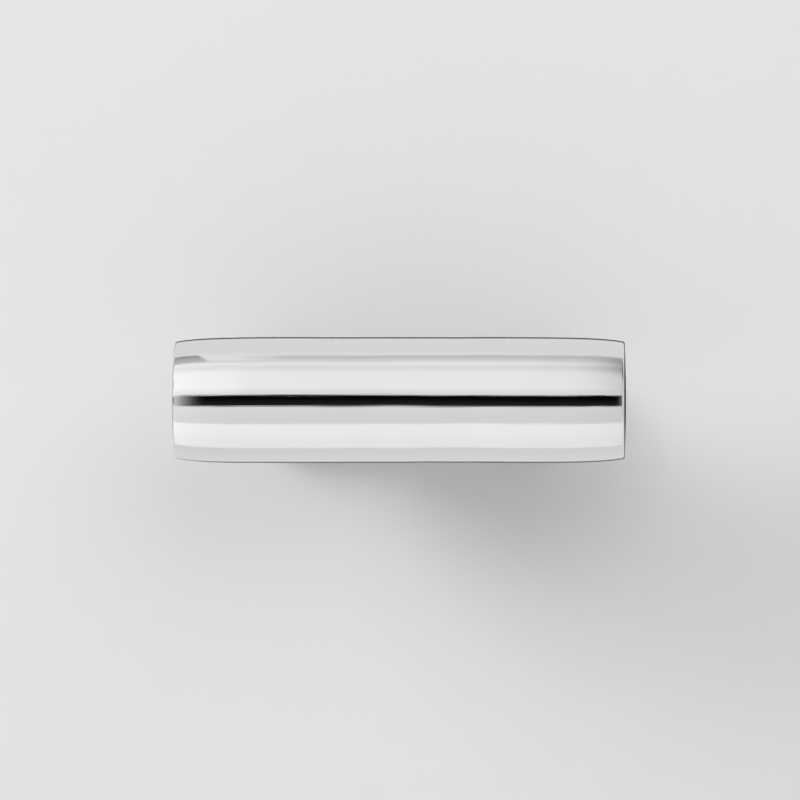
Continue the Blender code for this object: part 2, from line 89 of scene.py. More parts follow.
# Hexagon sockets: across the flats, then depth
BOLT_SOCKET, CHEEK_SCREW_SOCKET, GRUB_SOCKET = (5.0, 3.0), (2.0, 1.2), (1.5, 1.8)
BOLT_HEAD_LENGTH = 6.0
KNURLS, KNURL_DEPTH = 40, 0.14
COUNTERBORE_RADIUS = 5.5
SPRING_WASHER_TURN, SPRING_WASHER_LIFT = radians(345), 0.1
NUT_HEX_HEIGHT, NUT_DOME_RADIUS, NUT_FACE_RADIUS, NUT_BORE_DEPTH = 5.0, 4.7, 4.75, 7.5
NUT_CHAMFER = radians(30)

# How a turned shape's own axis lies in door coordinates
ALONG_OUT = Euler((0, 0, 0))
ALONG_DOOR = Euler((pi, 0, 0))
ALONG_UP = Euler((-pi / 2, 0, 0))
ALONG_X = {LEFT: Euler((0, -pi / 2, 0)), RIGHT: Euler((0, pi / 2, 0))}


class Extent:
    """Where a CAD node lies, in millimetres of door coordinates."""

    def __init__(self, node):
        low, high = (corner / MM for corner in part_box(node))
        self.low = Vector((low.x, low.z, -high.y))
        self.high = Vector((high.x, high.z, -low.y))
        self.centre = (self.low + self.high) / 2
        self.width, self.height, self.depth = self.high - self.low
        self.inner, self.outer = sorted((abs(self.low.x), abs(self.high.x)))


EXTENTS = {part["node"]: Extent(part["node"]) for part in frame["record"]["subparts"]}
HINGE_PLACE = Vector(frame["joints"][0]["pos_m"]) / MM
PIVOT_UP, PIVOT_OUT = HINGE_PLACE.z, -HINGE_PLACE.y
PLATE_BACK = EXTENTS["door_gasket"].high.z + CLOSE_FIT
PLATE_FRONT = EXTENTS["backplate"].high.z


def sided(side, name):
    return f"{SIDE_NAMES[side]}_{name}"


# ---------------------------------------------------------------- outlines


def arc(centre, radius, start, end, steps=FILLET_STEPS):
    """Points on a circle from one angle to another, both ends included."""
    angles = [start + (end - start) * i / steps for i in range(steps + 1)]
    return [(centre[0] + radius * cos(a), centre[1] + radius * sin(a)) for a in angles]


def rounded(outline, radii, closed=True, steps=FILLET_STEPS):
    """An outline with corners replaced by arcs; radii is one for all or one for each."""
    if not hasattr(radii, "__len__"):
        radii = [radii] * len(outline)
    made = []
    for i, (corner, radius) in enumerate(zip(outline, radii)):
        if radius < WELD or (not closed and i in (0, len(outline) - 1)):
            made.append(tuple(corner))
            continue
        here = Vector(corner)
        before = (Vector(outline[i - 1]) - here).normalized()
        after = (Vector(outline[(i + 1) % len(outline)]) - here).normalized()
        half = before.angle(after) / 2
        centre = here + (before + after).normalized() * radius / sin(half)
        first = here + before * radius / tan(half) - centre
        last = here + after * radius / tan(half) - centre
        start = atan2(first.y, first.x)
        made += arc(centre, radius, start, start - first.angle_signed(last), steps)
    return made


def pill(length, height):
    radius = height / 2
    reach = length / 2 - radius
    right = arc((reach, 0), radius, -pi / 2, pi / 2, ROUND_STEPS // 2)
    return right + arc((-reach, 0), radius, pi / 2, 3 * pi / 2, ROUND_STEPS // 2)


def hexagon(across):
    return arc((0, 0), across / 2 / cos(pi / 6), 0, 5 * pi / 3, 5)


# ---------------------------------------------------------------- solids


def surface(rows):
    """Quads through a grid of points; points that fall together are welded.

    The UV map runs from 0 to 1 along each row in U, and from row to row in millimetres in V,
    so that lathe marks can follow the cut.
    """
    bm = bmesh.new()
    uv = bm.loops.layers.uv.new("lathe")
    verts = [[bm.verts.new(point) for point in row] for row in rows]
    travel = [0.0]
    for row, following in zip(rows, rows[1:]):
        travel.append(travel[-1] + (Vector(following[0]) - Vector(row[0])).length)
    last = len(rows[0]) - 1
    for level in range(len(rows) - 1):
        for i in range(last):
            corners = ((level, i), (level, i + 1), (level + 1, i + 1), (level + 1, i))
            face = bm.faces.new([verts[row][column] for row, column in corners])
            for loop, (row, column) in zip(face.loops, corners):
                loop[uv].uv = (column / last, travel[row])
    bmesh.ops.remove_doubles(bm, verts=bm.verts, dist=WELD)
    return bm


def capped(bm):
    bmesh.ops.holes_fill(bm, edges=[edge for edge in bm.edges if edge.is_boundary])
    bmesh.ops.recalc_face_normals(bm, faces=bm.faces)
    return bm


def turned(profile, steps=ROUND_STEPS, ring=False):
    """Turns (radius, height) points about the height axis; a ring's profile is a closed loop."""
    angles = [2 * pi * i / steps for i in range(steps + 1)]
    points = profile + profile[:1] if ring else profile
    return surface([[(r * cos(a), r * sin(a), h) for a in angles] for r, h in points])


def rod(radius, length, edge=0.0, steps=ROUND_STEPS):
    """A round rod from height 0 to its length, with rounded ends."""
    profile = [(0, 0), (radius, 0), (radius, length), (0, length)]
    return turned(rounded(profile, edge, closed=False), steps)


def front_view(x, up, out):
    return x, up, out


def side_view(out, up, x):
    return x, up, out


def plan_view(x, out, up):
    return x, up, out


def prism(outline, start, end, place=front_view):
    """A solid between two copies of an outline; place turns (a, b, along) into (x, up, out)."""
    loop = [*outline, outline[0]]
    return capped(surface([[place(a, b, along) for a, b in loop] for along in (start, end)]))


def placed(bm, at, turn=ALONG_OUT):
    """The same mesh, moved from its own axes to a place in door coordinates."""
    bm.transform(Matrix.Translation(at) @ turn.to_matrix().to_4x4())
    return bm


def joined(shapes):
    """One mesh holding them all; the shapes themselves are freed."""
    whole = bmesh.new()
    scratch = bpy.data.meshes.new("scratch")
    for bm in shapes:
        bm.to_mesh(scratch)
        bm.free()
        whole.from_mesh(scratch)
    bpy.data.meshes.remove(scratch)
    return whole


def scratch_object(bm):
    bmesh.ops.recalc_face_normals(bm, faces=bm.faces)
    mesh = bpy.data.meshes.new("scratch")
    bm.to_mesh(mesh)
    bm.free()
    obj = bpy.data.objects.new("scratch", mesh)
    bpy.context.scene.collection.objects.link(obj)
    return obj


def modified(bm, kind, **settings):
    """What a modifier makes of a mesh."""
    obj = scratch_object(bm)
    modifier = obj.modifiers.new(kind.lower(), kind)
    for name, value in settings.items():
        setattr(modifier, name, value)
    made = bmesh.new()
    made.from_object(obj, bpy.context.evaluated_depsgraph_get())
    bpy.data.meshes.remove(obj.data)
    return made


def carved(bm, shapes, operation="DIFFERENCE"):
    """Takes shapes that don't touch each other out of a solid, or does another operation."""
    cutter = scratch_object(joined(shapes))
    made = modified(bm, "BOOLEAN", operation=operation, object=cutter)
    bpy.data.meshes.remove(cutter.data)
    return made


def eased(bm, width, steps=FILLET_STEPS):
    """Rounds every sharp edge."""
    settings = {"limit_method": "ANGLE", "angle_limit": SHARP_EDGE}
    return modified(bm, "BEVEL", width=width, segments=steps, **settings)


def socketed(bm, across, depth):
    """A solid whose near end is at height 0, with a hexagon socket in that end."""
    return carved(bm, [prism(rounded(hexagon(across), 0.08, steps=2), -OVERSHOOT, depth)])


def threaded(radius, pitch, length, end_bevel, socket=None):
    """A right-hand threaded rod from height 0, cut off square and bevelled at both ends.

    The thread's section has two points on the crest and two on the root, and each follows
    its own helix, so every edge of the mesh runs along the thread or across it.
    """
    root = radius - THREAD_DEPTH * pitch
    section = [(radius, 0), (radius, pitch / 8), (root, pitch / 2), (root, pitch * 0.7), (radius, pitch)]
    steps = ROUND_STEPS // 2
    turns = ceil(length / pitch) + 2
    rows = []
    for reach, rise in section:
        places = [(2 * pi * i / steps, pitch * (i / steps - 1) + rise) for i in range(turns * steps + 1)]
        rows.append([(reach * cos(a), reach * sin(a), height) for a, height in places])
    outside = radius + CLOSE_FIT
    trim = [(0, 0), (radius - end_bevel, 0), (outside, end_bevel + CLOSE_FIT)]
    trim += [(r, length - h) for r, h in reversed(trim)]
    blank = socketed(turned(trim), *socket) if socket else turned(trim)
    return carved(capped(surface(rows)), [blank], "INTERSECT")


# ---------------------------------------------------------------- materials


class Graph:
    """A shader's node tree, with short calls for the nodes used most."""

    def __init__(self, tree):
        self.tree = tree
        tree.nodes.clear()

    def add(self, kind, inputs=None, **settings):
        node = self.tree.nodes.new(kind)
        for name, value in settings.items():
            setattr(node, name, value)
        for name, value in (inputs or {}).items():
            self.feed(node.inputs[name], value)
        return node

    def feed(self, socket, value):
        if isinstance(value, bpy.types.NodeSocket):
            self.tree.links.new(value, socket)
        else:
            socket.default_value = value

    def math(self, operation, *values):
        node = self.add("ShaderNodeMath", operation=operation)
        for socket, value in zip(node.inputs, values):
            self.feed(socket, value)
        return node.outputs[0]

    def product(self, *values):
        made = values[0]
        for value in values[1:]:
            made = self.math("MULTIPLY", made, value)
        return made

    def ramp(self, value, start, end, low=0.0, high=1.0, shape="SMOOTHSTEP"):
        """Goes from low to high as value goes from start to end, and no further."""
        inputs = {"Value": value, "From Min": start, "From Max": end, "To Min": low, "To Max": high}
        return self.add("ShaderNodeMapRange", inputs, interpolation_type=shape).outputs[0]

    def window(self, value, first, last, soft):
        """One between first and last, with soft edges that go on for that far either way."""
        opened = self.ramp(value, first - soft, first + soft)
        closed = self.ramp(value, last - soft, last + soft, 1.0, 0.0)
        return self.math("MULTIPLY", opened, closed)

    def mix(self, share, first, second):
        return self.add("ShaderNodeMix", {0: share, 2: first, 3: second}).outputs[0]

    def mix_colour(self, share, first, second, blend="MIX"):
        inputs = {0: share, 6: first, 7: second}
        return self.add("ShaderNodeMix", data_type="RGBA", blend_type=blend, inputs=inputs).outputs[2]

    def noise(self, vector, scale, detail=2.0, roughness=0.5):
        inputs = {"Vector": vector, "Scale": scale, "Detail": detail, "Roughness": roughness}
        return self.add("ShaderNodeTexNoise", inputs).outputs[0]

    def streaks(self, vector, scales, detail=2.0):
        """Noise with its own scale along each axis."""
        stretched = self.add("ShaderNodeMapping", {"Vector": vector, "Scale": scales}).outputs[0]
        return self.noise(stretched, 1.0, detail, 0.6)

    def bump(self, height, depth, beneath=None, strength=1.0):
        """Depth is in millimetres."""
        inputs = {"Height": height, "Distance": depth * MM, "Strength": strength}
        if beneath is not None:
            inputs["Normal"] = beneath
        return self.add("ShaderNodeBump", inputs).outputs[0]


def new_material(name):
    material = bpy.data.materials.new(name)
    material.use_nodes = True
    return material, Graph(material.node_tree)


def principled(graph, **inputs):
    named = {name.replace("_", " "): value for name, value in inputs.items()}
    shader = graph.add("ShaderNodeBsdfPrincipled", named)
    graph.add("ShaderNodeOutputMaterial", {"Surface": shader.outputs[0]})


def record_colour(slot):
    found = next(entry for entry in frame["record"]["materials"] if entry["slot"] == slot)
    return tuple(found["base_color"][:3])


def scaled(colour, factor):
    return (*(channel * factor for channel in colour), 1.0)


def polishing_lines(graph, coords, line_depth, wave_depth):
    """Fine lines over soft waves, all along X, that die out on faces square to X."""
    along = graph.add("ShaderNodeSeparateXYZ", {"Vector": coords["Normal"]}).outputs[0]
    not_on_ends = graph.ramp(graph.math("ABSOLUTE", along), 0.7, 0.95, 1.0, 0.0)
    buffing = graph.streaks(coords["Object"], (24.0, 900.0, 900.0))
    hairlines = graph.streaks(coords["Object"], (60.0, 5000.0, 5000.0), 3.0)
    waves = graph.bump(buffing, wave_depth, strength=not_on_ends)
    return graph.bump(hairlines, line_depth, waves, not_on_ends)


def across_brushing(graph):
    """The direction along the surface in which brushing spreads what is reflected."""
    vectors = {0: graph.add("ShaderNodeNewGeometry").outputs["Normal"], 1: BRUSHED_ALONG}
    return graph.add("ShaderNodeVectorMath", vectors, operation="CROSS_PRODUCT").outputs[0]


def nickel(name, roughness, line_depth, wave_depth, brushing):
    """Plate with faint wipe marks and rubbed edges; brushing, from 0 to 1, adds furrows."""
    material, graph = new_material(name)
    colour = record_colour(name)
    coords = graph.add("ShaderNodeTexCoord").outputs
    place = coords["Object"]
    clouds = graph.noise(place, 60.0, 3.0)
    smears = graph.streaks(place, (18.0, 70.0, 70.0), 4.0)
    furrows = graph.streaks(place, (24.0, 2600.0, 2600.0), 3.0)
    furrows = graph.product(graph.ramp(furrows, 0.3, 0.7), brushing)
    edge = graph.add("ShaderNodeNewGeometry").outputs["Pointiness"]
    rubbed = graph.ramp(edge, 0.53, 0.65)
    base = graph.mix_colour(clouds, scaled(colour, 0.985), scaled(colour, 1.015))
    base = graph.mix_colour(graph.product(rubbed, 0.3), base, scaled(colour, 1.1))
    base = graph.mix_colour(furrows, base, scaled(colour, 0.84))
    rough = graph.ramp(smears, 0.42, 0.75, roughness, roughness + 0.025)
    rough = graph.math("ADD", rough, graph.product(rubbed, 0.05))
    rough = graph.math("ADD", rough, graph.product(furrows, 0.08))
    principled(
        graph,
        Base_Color=base,
        Metallic=1.0,
        Roughness=rough,
        Anisotropic=brushing,
        Tangent=across_brushing(graph),
        Normal=polishing_lines(graph, coords, line_depth, wave_depth),
    )
    return material


def stainless_steel():
    """Lathe-turned steel: fine rings that follow the cut, and a slight oil-dulled mottle."""
    material, graph = new_material("stainless_steel")
    colour = record_colour("stainless_steel")
    coords = graph.add("ShaderNodeTexCoord").outputs
    rings = graph.streaks(coords["UV"], (1.5, 22.0, 1.0), 4.0)
    grain = graph.noise(coords["Object"], 900.0, 3.0)
    mottle = graph.noise(coords["Object"], 180.0, 2.0)
    base = graph.mix_colour(mottle, scaled(colour, 0.86), scaled(colour, 1.1))
    rough = graph.math("ADD", graph.ramp(rings, 0.3, 0.7, 0.2, 0.34), graph.product(grain, 0.08))
    marks = graph.bump(rings, 0.004, graph.bump(grain, 0.001))
    principled(graph, Base_Color=base, Metallic=1.0, Roughness=rough, Normal=marks)
    return material


def nylon():
    """Natural nylon: milky, a little translucent, with turning marks and a worn sheen."""
    material, graph = new_material("nylon")
    colour = record_colour("nylon")
    coords = graph.add("ShaderNodeTexCoord").outputs
    rings = graph.streaks(coords["UV"], (1.0, 14.0, 1.0), 3.0)
    clouds = graph.noise(coords["Object"], 300.0, 3.0)
    principled(
        graph,
        Base_Color=graph.mix_colour(clouds, scaled(colour, 0.92), scaled(colour, 1.04)),
        Roughness=graph.ramp(clouds, 0.3, 0.7, 0.36, 0.52),
        Subsurface_Weight=0.2,
        Subsurface_Radius=(MM, MM, MM),
        Normal=graph.bump(rings, 0.006),
    )
    return material


def black_rubber():
    """Closed-cell rubber sheet: matt, finely pebbled, greyer where it has been handled."""
    material, graph = new_material("black_rubber")
    colour = record_colour("black_rubber")
    place = graph.add("ShaderNodeTexCoord").outputs["Object"]
    pebbles = graph.add("ShaderNodeTexVoronoi", {"Vector": place, "Scale": 2600.0}).outputs[0]
    dust = graph.noise(place, 220.0, 5.0, 0.6)
    base = graph.mix_colour(graph.ramp(dust, 0.45, 0.8), scaled(colour, 1.0), scaled(colour, 2.4))
    principled(
        graph,
        Base_Color=base,
        Roughness=graph.ramp(dust, 0.3, 0.8, 0.7, 0.88),
        Normal=graph.bump(pebbles, 0.02),
    )
    return material


# Roughness, then the depths in millimetres of the fine lines and of the waves under them,
# then how strongly it is brushed
NICKEL_FINISHES = {
    "polished_nickel": (0.02, 0.003, 0.012, 0.0),
    "brushed_nickel": (0.3, 0.008, 0.003, 0.8),
    "satin_nickel": (0.2, 0.003, 0.003, 0.0),
}
MATERIALS = {name: nickel(name, *finish) for name, finish in NICKEL_FINISHES.items()}
MATERIALS["stainless_steel"] = stainless_steel()
MATERIALS["nylon"] = nylon()
MATERIALS["black_rubber"] = black_rubber()
SLOTS = {part["node"]: part["material_slot"] for part in frame["record"]["subparts"]}
BODIES = {
    node: body
    for body, nodes in frame["record"]["behaviour"]["bodies"].items()
    for node in nodes
}


def add_piece(node, bm):
    """A shaded object that stands for a CAD node and rides its body."""
    bmesh.ops.recalc_face_normals(bm, faces=bm.faces)
    bm.transform(DOOR_TO_WORLD)
    mesh = bpy.data.meshes.new(f"{node}_fine")
    bm.to_mesh(mesh)
    bm.free()
    mesh.shade_smooth()
    mesh.set_sharp_from_angle(angle=SHARP_EDGE)
    mesh.materials.append(MATERIALS[SLOTS[node]])
    obj = bpy.data.objects.new(mesh.name, mesh)
    bpy.context.scene.collection.objects.link(obj)
    weighting = obj.modifiers.new("flat_faces_stay_flat", "WEIGHTED_NORMAL")
    weighting.keep_sharp = True
    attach(obj, BODIES[node])
    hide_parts(node)


# ---------------------------------------------------------------- pieces that swing


def bar_surface(half, radius):
    """(radius, along) from the middle of one end of the crowned bar to the middle of the other."""

    def crown(along):
        return radius - BAR_CROWN * abs(along / half) ** BAR_CROWN_POWER

    slope = atan(BAR_CROWN * BAR_CROWN_POWER / half)
    lip_centre = half - BAR_END_DOME - BAR_EDGE
    lip_start = lip_centre + BAR_EDGE * sin(slope)
    lip = arc((crown(lip_start) - BAR_EDGE * cos(slope), lip_centre), BAR_EDGE, slope, pi / 2, 12)
    rim = lip[-1][0]
    dome = [(rim * (1 - i / 24), half - BAR_END_DOME * (1 - i / 24) ** 2) for i in range(1, 25)]
    body = []
    for i in range(1, BAR_RINGS):
        along = lip_start * sin(pi * (i / BAR_RINGS - 0.5))
        body.append((crown(along), along))
    end = lip + dome
    return [(r, -along) for r, along in reversed(end)] + body + end


def hand_polish(bm):
    """Moves the surface in and out by hundredths of a millimetre, as a buffing wheel leaves it."""
    for vert in bm.verts:
        across = Vector((vert.co.x, vert.co.y, 0))
        if across.length > BAR_EDGE:
            waves = [noise.noise(vert.co / size) * size for size in POLISH_LENGTHS]
            vert.co += across.normalized() * sum(waves) * POLISH_DEPTH / POLISH_LENGTHS[0]


def fastener_hole(node, radius, start, end):
    """A cutter for the hole a fastener along the out direction needs."""
    centre = EXTENTS[node].centre
    return placed(rod(radius + CLOSE_FIT, end - start), (centre.x, centre.y, start))


def add_handle_bar():
    extent = EXTENTS["handle_bar"]
    bm = turned(bar_surface(extent.width / 2, extent.height / 2), BAR_STEPS)
    hand_polish(bm)
    holes = [fastener_hole("bar_bolt", M6_RADIUS, 0, EXTENTS["bar_bolt"].high.z + CAD_GAP)]
    for side in SIDES:
        dowel = EXTENTS[sided(side, "bar_dowel")]
        end = dowel.high.z + CAD_GAP
        holes.append(fastener_hole(sided(side, "bar_dowel"), dowel.width / 2, 0, end))
    add_piece("handle_bar", carved(placed(bm, extent.centre, ALONG_X[RIGHT]), holes))


def arm_side_outline():
    """Seen from the side: rear face, round heel about the pin, stop flat, then top and bottom."""
    pivot = (PIVOT_OUT, PIVOT_UP)
    radius = PIVOT_OUT - PLATE_FRONT - HEEL_CLEARANCE
    stop = pi - LIFT_LIMIT
    heel = arc(pivot, radius, pi + acos((PIVOT_OUT - ARM_REAR) / radius), stop, ROUND_STEPS // 2)
    stop_end = (heel[-1][0] + STOP_LENGTH * sin(stop), heel[-1][1] - STOP_LENGTH * cos(stop))
    corners = [heel[-1], stop_end, (ARM_REACH, ARM_TOP), (ARM_REACH, ARM_BOTTOM)]
    corners += [(ARM_REAR, EXTENTS["swing_arm"].low.y), heel[0]]
    return heel + rounded(corners, [0, 1.2, 0, 0, 1.0, 0])[1:-1]


def arm_plan_outline():
    """Seen from above: parallel at the hinge, waisted, then wider again under the bar."""
    edge = [(WAIST_WIDTHS[0], 0)]
    for stage in (0, 1):
        start, end = WAIST_OUTS[stage : stage + 2]
        wide, narrow = WAIST_WIDTHS[stage : stage + 2]
        for i in range(stage, 25):
            share = (1 - cos(pi * i / 24)) / 2
            edge.append((wide + (narrow - wide) * share, start + (end - start) * i / 24))
    edge.append((WAIST_WIDTHS[2], 2 * ARM_REACH))
    return edge + [(-x, out) for x, out in reversed(edge)]


def bar_bolt_hole():
    """A counterbore from the back for the bolt's head and washer, then a clearance hole."""
    seat = EXTENTS["bar_bolt_washer"].high.z + CLOSE_FIT
    clearance = M6_RADIUS + 0.2
    profile = [(0, 0), (COUNTERBORE_RADIUS, 0), (COUNTERBORE_RADIUS, seat), (clearance, seat)]
    return turned([*profile, (clearance, 2 * ARM_REACH), (0, 2 * ARM_REACH)])


def add_swing_arm():
    bar = EXTENTS["handle_bar"]
    body = prism(arm_side_outline(), -LONG_REACH, LONG_REACH, side_view)
    limit = prism(arm_plan_outline(), -LONG_REACH, LONG_REACH, plan_view)
    body = carved(body, [limit], "INTERSECT")
    saddle = rod(bar.height / 2 + CLOSE_FIT, bar.width, steps=2 * ROUND_STEPS)
    body = carved(body, [placed(saddle, (bar.low.x, bar.centre.y, bar.centre.z), ALONG_X[RIGHT])])
    body = eased(body, ARM_EDGE)
    holes = [bar_bolt_hole()]
    for side in SIDES:
        bush = EXTENTS[sided(side, "pivot_bush")]
        at = (side * (bush.inner - CLOSE_FIT), PIVOT_UP, PIVOT_OUT)
        holes.append(placed(rod(BUSH_RADIUS + CLOSE_FIT, bush.width + 2), at, ALONG_X[side]))
        dowel, striker = sided(side, "bar_dowel"), sided(side, "striker_button")
        start, end = EXTENTS[dowel].low.z, EXTENTS[dowel].high.z
        holes.append(fastener_hole(dowel, EXTENTS[dowel].width / 2, start, end))
        holes.append(fastener_hole(striker, BUTTON_SHANK_RADIUS, 0, EXTENTS[striker].high.z))
    add_piece("swing_arm", carved(body, holes))


def add_bushes():
    for side in SIDES:
        node = sided(side, "pivot_bush")
        extent = EXTENTS[node]
        bore = PIN_RADIUS + CLOSE_FIT
        step = extent.outer - BUSH_FLANGE - CLOSE_FIT
        profile = [(bore, extent.inner), (BUSH_RADIUS, extent.inner), (BUSH_RADIUS, step)]
        profile += [(extent.height / 2, step), (extent.height / 2, extent.outer), (bore, extent.outer)]
        bm = turned(rounded(profile, [0.2, 0.4, 0, 0.15, 0.25, 0.25]), ring=True)
        add_piece(node, placed(bm, (0, PIVOT_UP, PIVOT_OUT), ALONG_X[side]))


def knurled_head(radius, length):
    """A socket cap screw's head: straight knurls, and an eased outer rim."""
    outline = []
    for i in range(KNURLS * 4):
        reach = radius - (KNURL_DEPTH if i % 4 in (0, 3) else 0)
        turn = 2 * pi * i / (KNURLS * 4)
        outline.append((reach * cos(turn), reach * sin(turn)))
    limit = [(0, 0), (radius - 0.7, 0), (radius - 0.2, 0.2), (radius + 0.1, 0.8)]
    limit += [(radius + 0.1, length - 0.3), (radius - 0.2, length), (0, length)]
    limit = socketed(turned(limit), *BOLT_SOCKET)
    return carved(prism(outline, -1, length + 1), [limit], "INTERSECT")


def add_bar_bolt():
    extent = EXTENTS["bar_bolt"]
    start = BOLT_SOCKET[1] + 1
    shank = threaded(M6_RADIUS, M6_PITCH, extent.depth - start, 0.6)
    head = knurled_head(extent.width / 2, BOLT_HEAD_LENGTH)
    bm = joined([head, placed(shank, (0, 0, start))])
    add_piece("bar_bolt", placed(bm, (extent.centre.x, extent.centre.y, extent.low.z)))


def add_spring_washer():
    extent = EXTENTS["bar_bolt_washer"]
    inner, outer = M6_RADIUS + 0.1, extent.width / 2
    thickness = extent.depth - SPRING_WASHER_LIFT
    section = rounded([(inner, 0), (outer, 0), (outer, thickness), (inner, thickness)], 0.15, steps=3)
    rows = []
    for i in range(ROUND_STEPS + 1):
        turn = SPRING_WASHER_TURN * i / ROUND_STEPS
        lift = extent.low.z + SPRING_WASHER_LIFT * i / ROUND_STEPS
        rows.append([(r * cos(turn), r * sin(turn), lift + h) for r, h in [*section, section[0]]])
    add_piece("bar_bolt_washer", capped(surface(rows)))


def add_dowels():
    for side in SIDES:
        extent = EXTENTS[sided(side, "bar_dowel")]
        bm = rod(extent.width / 2, extent.depth, 0.45)
        at = (extent.centre.x, extent.centre.y, extent.low.z)
        add_piece(sided(side, "bar_dowel"), placed(bm, at))


def button(radius, head, length):
    shank = BUTTON_SHANK_RADIUS
    profile = [(0, 0), (radius, 0), (radius, head), (shank, head), (shank, length), (0, length)]
    return turned(rounded(profile, [0, 0.35, 0, 0.1, 0.4, 0], closed=False))


def add_buttons():
    """Anvil studs in the backplate, and the striker buttons in the arm that hit them."""
    for side in SIDES:
        anvil = EXTENTS[sided(side, "anvil_stud")]
        bm = button(anvil.width / 2, anvil.high.z - PLATE_FRONT - CLOSE_FIT, anvil.depth)
        at = (anvil.centre.x, anvil.centre.y, anvil.high.z)
        add_piece(sided(side, "anvil_stud"), placed(bm, at, ALONG_DOOR))
        striker = EXTENTS[sided(side, "striker_button")]
        face = anvil.high.z + CLOSE_FIT
        bm = button(striker.width / 2, ARM_REAR - CLOSE_FIT - face, striker.high.z - face)
        at = (striker.centre.x, striker.centre.y, face)
        add_piece(sided(side, "striker_button"), placed(bm, at))


# ---------------------------------------------------------------- pieces fixed to the door


def add_gasket():
    extent = EXTENTS["door_gasket"]
    body = prism(pill(extent.width, extent.height), extent.low.z, extent.high.z)
    holes = []
    for side in SIDES:
        stud = sided(side, "fixing_stud")
        holes.append(fastener_hole(stud, GASKET_HOLE_RADIUS, -OVERSHOOT, extent.high.z + OVERSHOOT))
    add_piece("door_gasket", eased(carved(body, holes), GASKET_EDGE, 3))


def stud_boss(extent):
    """The boss behind the plate that stops it turning, and takes the stud."""
    length = PLATE_BACK + 1 - EXTENTS["backplate"].low.z
    profile = [(0, 0), (BOSS_RADIUS, 0), (BOSS_RADIUS, length), (0, length)]
    bm = turned(rounded(profile, [0, 0.5, 0, 0], closed=False))
    return placed(bm, (extent.centre.x, extent.centre.y, EXTENTS["backplate"].low.z))


def stud_hole(extent):
    """A blind hole up the boss, with a chamfered mouth."""
    bore, chamfer = M6_RADIUS + CLOSE_FIT, 0.6
    depth = extent.high.z + CLOSE_FIT - EXTENTS["backplate"].low.z
    mouth = bore + chamfer + OVERSHOOT
    bm = turned([(0, -OVERSHOOT), (mouth, -OVERSHOOT), (bore, chamfer), (bore, depth), (0, depth)])
    return placed(bm, (extent.centre.x, extent.centre.y, EXTENTS["backplate"].low.z))


def countersunk_hole(extent):
    """For a cheek screw, from the back of the plate to past its front."""
    bore = M3_RADIUS + 0.1
    mouth = extent.width / 2 + CLOSE_FIT + extent.low.z - PLATE_BACK + OVERSHOOT
    end = PLATE_FRONT + OVERSHOOT - PLATE_BACK
    neck = mouth - bore - OVERSHOOT
    bm = turned([(0, -OVERSHOOT), (mouth, -OVERSHOOT), (bore, neck), (bore, end), (0, end)])
    return placed(bm, (extent.centre.x, extent.centre.y, PLATE_BACK))


def add_backplate():
    extent = EXTENTS["backplate"]
    body = prism(pill(extent.width, extent.height), PLATE_BACK, PLATE_FRONT)
    rim = [edge for edge in body.edges if all(vert.co.z > PLATE_FRONT - WELD for vert in edge.verts)]
    bmesh.ops.bevel(body, geom=rim, offset=PLATE_EDGE, segments=12, profile=0.5, affect="EDGES")
    studs = [EXTENTS[sided(side, "fixing_stud")] for side in SIDES]
    body = carved(body, [stud_boss(stud) for stud in studs], "UNION")
    holes = [stud_hole(stud) for stud in studs]
    for side in SIDES:
        anvil = sided(side, "anvil_stud")
        start = EXTENTS[anvil].low.z - CLOSE_FIT
        holes.append(fastener_hole(anvil, BUTTON_SHANK_RADIUS, start, PLATE_FRONT + OVERSHOOT))
        for level in ("upper", "lower"):
            holes.append(countersunk_hole(EXTENTS[sided(side, f"{level}_cheek_screw")]))
    add_piece("backplate", carved(body, holes))


def cheek_outline(extent, foot):
    """Seen from the side: a flat foot, a round nose about the pin and a leaning underside."""
    radius = extent.high.z - PIVOT_OUT
    rise, reach = PIVOT_UP - extent.low.y, PIVOT_OUT - foot
    lean = atan2(rise, reach) - asin(radius / hypot(rise, reach))
    nose = arc((PIVOT_OUT, PIVOT_UP), radius, lean - pi / 2, pi / 2, ROUND_STEPS // 2)
    return [(foot, extent.low.y), *nose, (foot, PIVOT_UP + radius)]


def add_cheeks():
    foot = PLATE_FRONT + CLOSE_FIT
    bore = PIN_RADIUS + CLOSE_FIT
    for side in SIDES:
        node = sided(side, "hinge_cheek")
        extent = EXTENTS[node]
        body = prism(cheek_outline(extent, foot), extent.low.x, extent.high.x, side_view)
        faces = [face for face in body.faces if len(face.verts) > 4]
        rim = [e for face in faces for e in face.edges if max(v.co.z for v in e.verts) > foot + WELD]
        bmesh.ops.bevel(body, geom=rim, offset=CHEEK_EDGE, segments=8, profile=0.5, affect="EDGES")
        mouth = extent.outer + OVERSHOOT
        pin_hole = [(0, 0), (bore, 0), (bore, extent.outer - PIN_HOLE_CHAMFER)]
        pin_hole += [(bore + PIN_HOLE_CHAMFER + OVERSHOOT, mouth), (0, mouth)]
        pin_hole = placed(turned(pin_hole), (0, PIVOT_UP, PIVOT_OUT), ALONG_X[side])
        body = carved(body, [pin_hole])
        below = (extent.centre.x, PIVOT_UP - LONG_REACH, PIVOT_OUT)
        holes = [placed(rod(M3_RADIUS + CLOSE_FIT, LONG_REACH), below, ALONG_UP)]
        for level in ("upper", "lower"):
            fixing = sided(side, f"{level}_cheek_screw")
            holes.append(fastener_hole(fixing, M3_RADIUS, 0, EXTENTS[fixing].high.z + CLOSE_FIT))
        add_piece(node, carved(body, holes))


def add_pins():
    for side in SIDES:
        extent = EXTENTS[sided(side, "pivot_pin")]
        bm = rod(PIN_RADIUS, extent.width, 0.4)
        at = (side * extent.inner, PIVOT_UP, PIVOT_OUT)
        add_piece(sided(side, "pivot_pin"), placed(bm, at, ALONG_X[side]))


